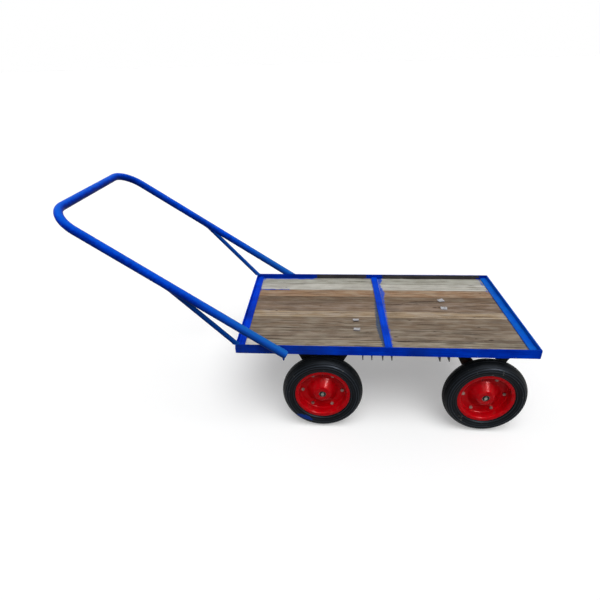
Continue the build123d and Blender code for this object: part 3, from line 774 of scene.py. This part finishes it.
enamel_on_tube = enamel_painted_lit_and_shaded("blue_enamel_on_tube", -420 * mm, -200 * mm, "#1652B2", "#206EB2")
enamel_on_stays = enamel_painted_lit_and_shaded("blue_enamel_on_stays", -700 * mm, -600 * mm, "#0B449A", "#165CAA")
give(enamel_on_tube, "handle_loop")
give(enamel_on_stays, "handle_stay_right", "handle_stay_left")
tube_radius = 33.7 / 2 * mm
stay_radius = 10 * mm
loop_low, loop_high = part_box("handle_loop")
grip_half_width = 703 / 2 * mm
seat_from_rear = 157 * mm
stay_foot_inset = 10 * mm
stay_foot_from_rear = 2 * mm
stay_head_behind = 270 * mm
arm_past_seat = 60 * mm
bead_from_contact = 9 * mm
bead_stand_off = 1.3 * mm
tube_bead = 4.5 * mm
stay_bead = 3.4 * mm
tube_seams = []
stay_rings = []
for side in (-1, 1):
    grip_corner = Vector((loop_low.x + tube_radius, side * grip_half_width, loop_high.z - tube_radius))
    arm_seat = Vector((rail_low.x + seat_from_rear, side * (frame_left + tube_radius), rail_high.z))
    arm = (grip_corner - arm_seat).normalized()
    below = Vector((-arm.z, 0, arm.x)).normalized()
    for offset in (-bead_from_contact, bead_from_contact):
        # Beads above and below where the arm touches the rail, down to the rail's foot or the arm's end.
        beside = arm_seat + offset * below
        to_top = (beside.z - rail_high.z + weld_drop) / arm.z
        to_foot = (beside.z - rail_low.z - weld_drop) / arm.z
        ends = []
        for distance in (to_top, min(to_foot, arm_past_seat - weld_drop)):
            place = beside - arm * distance
            ends.append(Vector((place.x, side * (frame_left + bead_stand_off), place.z)))
        tube_seams.append(seam_line(*ends))
    if side < 0:
        lowest_of_arm = arm_seat - arm * arm_past_seat + tube_radius * below
    foot_x = rail_low.x + stay_foot_from_rear
    foot = Vector((foot_x, side * (frame_left - stay_foot_inset), rail_high.z))
    head_share = (rail_low.x - stay_head_behind - arm_seat.x) / arm.x
    head = arm_seat + head_share * arm
    stay = (head - foot).normalized()
    first = stay.orthogonal().normalized()
    second = stay.cross(first)
    saddle = []
    foot_ring = []
    for turn in seam_turns(stay_radius):
        spoke = stay_radius * (cos(turn) * first + sin(turn) * second)
        # Up the wall of the stay to where it meets the wall of the arm.
        from_arm = foot + spoke - arm_seat
        from_arm -= arm * from_arm.dot(arm)
        climb = stay - arm * stay.dot(arm)
        half_way = climb.dot(from_arm) / climb.length_squared
        spread = half_way**2 - (from_arm.length_squared - tube_radius**2) / climb.length_squared
        saddle.append(foot + spoke + stay * (-half_way - sqrt(max(spread, 0))))
        foot_ring.append(foot + spoke + stay * ((bead_stand_off - spoke.z) / stay.z))
    stay_rings += [saddle, foot_ring]
weld("arm_welds", tube_seams, tube_bead, enamel_on_tube)
weld("stay_welds", stay_rings, stay_bead, enamel_on_tube, ring=True)


# Paint drip: enamel that ran to the lowest point of the right arm's end and dried there.
# A solid drop of blue enamel, thin at its neck, fuller below and round at its tip.
def turned(name, outline, steps):
    """Turn an outline of (radius, height) points round the Z axis, as on a lathe."""
    form = bpy.data.meshes.new(name)
    points = [(radius, 0, height) for radius, height in outline]
    form.from_pydata(points, [(step, step + 1) for step in range(len(points) - 1)], [])
    piece = put(name, form)
    select_only(piece)
    bpy.ops.object.mode_set(mode="EDIT")
    bpy.ops.mesh.select_all(action="SELECT")
    bpy.ops.mesh.spin(steps=steps, angle=tau, center=(0, 0, 0), axis=(0, 0, 1))
    bpy.ops.mesh.select_all(action="SELECT")
    bpy.ops.mesh.remove_doubles(threshold=0.01 * mm)
    bpy.ops.mesh.normals_make_consistent(inside=False)
    bpy.ops.object.mode_set(mode="OBJECT")
    return piece


drip_length = 12 * mm
drip_neck = 2.8 * mm
drip_belly = 3.8 * mm
drip_root = 3 * mm
root_fade = 7
tip_from = 0.82
root_in_arm = 1 * mm
drip_steps = 16
drip_sides = 20
drip_outline = []
for step in range(drip_steps + 1):
    fall = step / drip_steps
    body = drip_neck + (drip_belly - drip_neck) * sin(pi * fall) ** 2 + drip_root * exp(-root_fade * fall)
    round_tip = sqrt(max(0, 1 - max(0, (fall - tip_from) / (1 - tip_from)) ** 2))
    drip_outline.append((body * round_tip, -drip_length * fall))
drip = turned("paint_drip", [(0, root_in_arm)] + drip_outline, drip_sides)
drip.data.transform(Matrix.Translation(lowest_of_arm))
drip.data.materials.append(enamel_lengthwise)
bpy.ops.object.shade_smooth_by_angle(angle=radians(60))
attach(drip, "frame")


# Rims: two pressed steel halves to each wheel, bolted together round the tyre.
# Dipped in gloss red enamel: even, with a little orange peel, worn at the edges and dusty in places.
# The bolts are zinc plated, with a film of the same red.
def red_enamel():
    material, tree, place = new_material("gloss_red_enamel")
    cloud = add(tree, "TexNoise", {"Vector": place, "Scale": 1 / (45 * mm), "Detail": 3})
    peel = add(tree, "TexNoise", {"Vector": place, "Scale": 1 / (5 * mm), "Detail": 2})
    patchy = blotches(tree, place, 6 * mm, 5, 0.4, 0.6, 0.5)
    worn = add(tree, "Math", {0: worn_edges(tree, 2 * mm), 1: patchy}, operation="MULTIPLY")
    dust = blotches(tree, place, 20 * mm, 5, 0.5, 0.8, 0.16)
    paint = linear("#A4000A")
    for share, tint in ((cloud, "#C40010"), (worn, "#C83A42"), (dust, "#8A5A50")):
        paint = add(tree, "Mix", {0: share, 6: paint, 7: linear(tint)}, **of_colours)
    roughness = add(tree, "MapRange", {"Value": cloud, **noise_range, "To Min": 0.3, "To Max": 0.42})
    gloss = {"Specular_IOR_Level": 0.15, "Specular_Tint": linear("#FF2A2A")}
    surface(tree, paint, roughness, peel, 0.2 * mm, Coat_Weight=0.06, Coat_Roughness=0.18, **gloss)
    return material


red_paint = red_enamel()
zinc_plate = bare_steel("zinc_plated_bolts", "#5A423E", "#8E736C", 0.4, 1.5 * mm)
for wheel in wheels:
    give(red_paint, f"{wheel}_rim_outer", f"{wheel}_rim_inner")
    give(zinc_plate, f"{wheel}_rim_bolts")
    give(ground_steel, f"{wheel}_bearings")


# Tyres: pneumatic tyres with four grooves round the tread and fine rings moulded in the sidewalls,
# on an air tube. Black rubber, grey on the crests of the rings, which is rubbing and a painted
# highlight, with pale scuffs and a smear of blue paint on one. The stem of each air tube is red from
# the dip of its rim.
stem_from = 104 * mm
stem_fade = 3 * mm
smear_size = (36 * mm, 30 * mm, 10 * mm)
smear_tilt = radians(23)


def paint_smear(tree, place, rubber, smear_place):
    """A smear of blue enamel on the outer sidewall, longer than it is high."""
    spread = {"Location": smear_place, "Rotation": (0, smear_tilt, 0), "Scale": smear_size}
    inside = add(tree, "Mapping", {"Vector": place, **spread}, vector_type="TEXTURE")
    reach = add(tree, "VectorMath", {0: inside}, out="Value", operation="LENGTH")
    ragged = add(tree, "TexNoise", {"Vector": place, "Scale": 1 / (7 * mm), "Detail": 3})
    reach = add(tree, "Math", {0: reach, 1: ragged}, operation="ADD")
    return lay(tree, rubber, linear("#052C7C"), reach, 1.55, 1.35, 0.9)


def scuffed_rubber(name, smear_place=None, stem_axle=None):
    """Tyre rubber, with a smear of paint at a place or with a red stem about an axle."""
    material, tree, place = new_material(name)
    bloom = add(tree, "TexNoise", {"Vector": place, "Scale": 1 / (40 * mm), "Detail": 4})
    grit = add(tree, "TexNoise", {"Vector": place, "Scale": 1 / (2.5 * mm), "Detail": 2})
    crest = add(tree, "Attribute", out="Fac", attribute_name="crest")
    # Grey on the crests of the moulded rings: rubbed rubber and a painted highlight.
    rubbed_and_highlit = add(tree, "MapRange", {"Value": crest, "From Min": 0.35, "From Max": 0.9, "To Max": 0.75})
    scuffed = blotches(tree, place, 15 * mm, 6, 0.67, 0.75, 0.45)
    rubber = linear("#050606")
    for share, tint in ((bloom, "#101214"), (rubbed_and_highlit, "#2E343C"), (scuffed, "#7B7770")):
        rubber = add(tree, "Mix", {0: share, 6: rubber, 7: linear(tint)}, **of_colours)
    if smear_place is not None:
        rubber = paint_smear(tree, place, rubber, smear_place)
    if stem_axle is not None:
        reach = add(tree, "VectorMath", {0: place, 1: stem_axle}, out="Value", operation="DISTANCE")
        rubber = lay(tree, rubber, linear("#8E0009"), reach, stem_from + stem_fade, stem_from)
    roughness = add(tree, "MapRange", {"Value": bloom, **noise_range, "To Min": 0.34, "To Max": 0.46})
    gloss = {"Specular_IOR_Level": 0.07, "Specular_Tint": linear("#D6E2F6")}
    surface(tree, rubber, roughness, grit, 0.25 * mm, **gloss)
    return material


tyre_low, tyre_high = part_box("rear_right_tyre")
tread_radius = (tyre_high.z - tyre_low.z) / 2
tyre_half = (tyre_high.y - tyre_low.y) / 2
shoulder = (31 * mm, tread_radius - 11 * mm)
widest = (tyre_half, tread_radius - 26.75 * mm)
rim_edge = (30.3 * mm, tread_radius - 53.2 * mm)
bead_heel = (27.2 * mm, tread_radius - 67.2 * mm)
bead_inner = 19.2 * mm
bead_top = tread_radius - 51.5 * mm
inner_half = 31.5 * mm
inner_shoulder = (25.5 * mm, tread_radius - 15.5 * mm)
inner_crown = tread_radius - 10 * mm
groove_places = (6 * mm, 18 * mm)
groove_half = 2 * mm
groove_depth = 4 * mm
groove_corner = 0.6 * mm
outline_step = 0.7 * mm
# Moulded rings of the sidewall, in mm: how far below the tread, how high, and half as wide.
sidewall_rings = ((10, 1.4, 2.0), (19, 1.6, 2.2), (28, 1.6, 2.2), (37, 1.0, 1.8), (48, 1.8, 1.4))
full_crest = 1.6 * mm
crest_from_shoulder = 1 * mm
tyre_steps = 144


def arc(centre, start, end):
    """Points from start to end, (across, radius), on an arc about a centre on the wheel's section."""
    from_angle = atan2(start[1] - centre[1], start[0] - centre[0])
    to_angle = atan2(end[1] - centre[1], end[0] - centre[0])
    bend = hypot(start[0] - centre[0], start[1] - centre[1])
    steps = ceil(abs(to_angle - from_angle) * bend / outline_step)
    angles = [from_angle + (to_angle - from_angle) * step / steps for step in range(steps + 1)]
    return [(centre[0] + bend * cos(angle), centre[1] + bend * sin(angle)) for angle in angles]


def tread_point(across, radius):
    """A point of the crown, sunk where it lies in a groove."""
    nearest = min(abs(across - place) for place in groove_places)
    sink = min(1, max(0, (groove_half - nearest) / groove_corner))
    return across, radius - groove_depth * sink


def ring_rise(radius):
    """How far the moulded rings stand out of the sidewall at a radius."""
    rise = 0.0
    for below, height, half_width in sidewall_rings:
        rise += height * mm * exp(-(((tread_radius - below * mm - radius) / (half_width * mm)) ** 2))
    return rise


def sidewall_point(across, radius):
    """A point of the sidewall, raised where a ring is moulded on it."""
    return across + ring_rise(radius), radius


def sidewall_centre(edge):
    """The centre of the arc that is upright at the widest point and passes through an edge."""
    inset = widest[0] - edge[0]
    bend = ((edge[1] - widest[1]) ** 2 + inset**2) / (2 * inset)
    return widest[0] - bend, widest[1]


def half_outline():
    """Half of the tyre's section, from the middle of the tread round to the inside of the crown."""
    drop = tread_radius - shoulder[1]
    crown_bend = (shoulder[0] ** 2 + drop**2) / (2 * drop)
    points = [tread_point(*p) for p in arc((0, tread_radius - crown_bend), (0, tread_radius), shoulder)]
    points += [sidewall_point(*p) for p in arc(sidewall_centre(shoulder), shoulder, widest)[1:]]
    points += [sidewall_point(*p) for p in arc(sidewall_centre(rim_edge), widest, rim_edge)[1:]]
    points += [bead_heel, (bead_inner, bead_heel[1]), (bead_inner, bead_top)]
    points += [(inner_half, widest[1]), inner_shoulder, (0, inner_crown)]
    return points


right_half = half_outline()
left_half = [(-across, radius) for across, radius in reversed(right_half)]
closed_outline = [(radius, across) for across, radius in right_half + left_half[1:]]
moulded_tyre = turned("moulded_tyre", closed_outline, tyre_steps)
moulded_tyre.data.transform(Matrix.Rotation(pi / 2, 4, "X"))
bpy.ops.object.shade_smooth_by_angle(angle=radians(35))
crests = []
for vertex in moulded_tyre.data.vertices:
    on_sidewall = abs(vertex.co.y) > shoulder[0] - crest_from_shoulder
    crests.append(on_sidewall * ring_rise(hypot(vertex.co.x, vertex.co.z)) / full_crest)
moulded_tyre.data.attributes.new("crest", "FLOAT", "POINT").data.foreach_set("value", crests)
smear_from_axle = Vector((-74 * mm, -tyre_half, -117 * mm))
rear_wheel = (tyre_low + tyre_high) / 2
clean_rubber = scuffed_rubber("scuffed_black_tyre_rubber")
smeared_rubber = scuffed_rubber("scuffed_black_tyre_rubber_with_paint", rear_wheel + smear_from_axle)
for wheel in wheels:
    low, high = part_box(f"{wheel}_tyre")
    axle = (low + high) / 2
    tyre = put(f"{wheel}_moulded_tyre", moulded_tyre.data.copy())
    tyre.data.transform(Matrix.Translation(axle))
    tyre.data.materials.append(smeared_rubber if wheel == "rear_right" else clean_rubber)
    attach(tyre, f"{wheel}_wheel")
    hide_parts(f"{wheel}_tyre")
    give(scuffed_rubber(f"{wheel}_tube_rubber", stem_axle=axle), f"{wheel}_air_tube")
bpy.data.objects.remove(moulded_tyre)


# Floor: a plain studio floor that keeps the cart's shadow. It looks white, but throws back no more
# light than grey card, so that the undersides of the tubes stay dark.
def shown(tree):
    """One to the camera, a mirror or glass, and nought to the light that falls on the cart."""
    seen = add(tree, "LightPath", out="Is Camera Ray")
    for ray in ("Is Glossy Ray", "Is Transmission Ray"):
        seen = add(tree, "Math", {0: seen, 1: add(tree, "LightPath", out=ray)}, operation="MAXIMUM")
    return seen


floor_size = 400
bpy.ops.mesh.primitive_plane_add(size=floor_size)
floor = bpy.context.object
floor.name = "studio_floor"
matt_white, tree, _ = new_material("matt_white_floor")
seen = shown(tree)
floor_look = {
    "Base Color": add(tree, "Mix", {0: seen, 6: linear("#8C8C8C"), 7: linear("#E0E0E0")}, **of_colours),
    "Roughness": 0.95,
    "Specular IOR Level": 0.0,
    "Emission Color": (1, 1, 1, 1),
    "Emission Strength": add(tree, "MapRange", {"Value": seen, "To Max": 0.3}),
}
add(tree, "OutputMaterial", {"Surface": add(tree, "BsdfPrincipled", floor_look)})
floor.data.materials.append(matt_white)

# Light: a broad soft sun, high on the right of the cart, a window that shows only as a glint in
# shiny surfaces, and a pale room all round that is white where the camera, a mirror or glass shows it.
room_light = 0.38
world = bpy.data.worlds.new("pale_room")
bpy.context.scene.world = world
world.use_nodes = True
tree = world.node_tree
tree.nodes.clear()
strength = add(tree, "MapRange", {"Value": shown(tree), "To Min": room_light, "To Max": 1.0})
background = add(tree, "Background", {"Color": (1, 1, 1, 1), "Strength": strength})
add(tree, "OutputWorld", {"Surface": background})
for name, energy, spread, sun_from, lights_matt in (
    ("soft_sun", 2.15, 50, Vector((0.12, -0.38, 0.91)), True),
    ("window_glint", 8.0, 20, Vector((0.44, -0.62, 0.64)), False),
):
    sun = bpy.data.lights.new(name, "SUN")
    sun.energy = energy
    sun.angle = radians(spread)
    lamp = put(name, sun)
    lamp.rotation_euler = sun_from.to_track_quat("Z", "Y").to_euler()
    lamp.visible_diffuse = lights_matt

# Camera: a pinhole fitted to the photograph, by its place, its turns and its focal length.
# The focal length and the place of the lens's axis are in pixels of the photograph.
view_place = Vector((91.6 * mm, -1915.7 * mm, 1426.0 * mm))
view_yaw = radians(-5.01)
view_pitch = radians(26.73)
view_roll = radians(-1.68)
view_focal_pixels = 463.7
view_centre_pixels = (288.0, 294.1)
image_pixels = 600
sensor_width = 36
view_turn = (
    Matrix.Rotation(-view_yaw, 4, "Z")
    @ Matrix.Rotation(pi / 2 - view_pitch, 4, "X")
    @ Matrix.Rotation(view_roll, 4, "Z")
)
lens = bpy.data.cameras.new("photo_view")
lens.sensor_width = sensor_width
lens.lens = sensor_width * view_focal_pixels / image_pixels
lens.shift_x = (image_pixels / 2 - view_centre_pixels[0]) / image_pixels
lens.shift_y = (view_centre_pixels[1] - image_pixels / 2) / image_pixels
camera = put("photo_view", lens)
camera.matrix_world = Matrix.Translation(view_place) @ view_turn
bpy.context.scene.camera = camera
bpy.context.scene.view_settings.view_transform = "Standard"
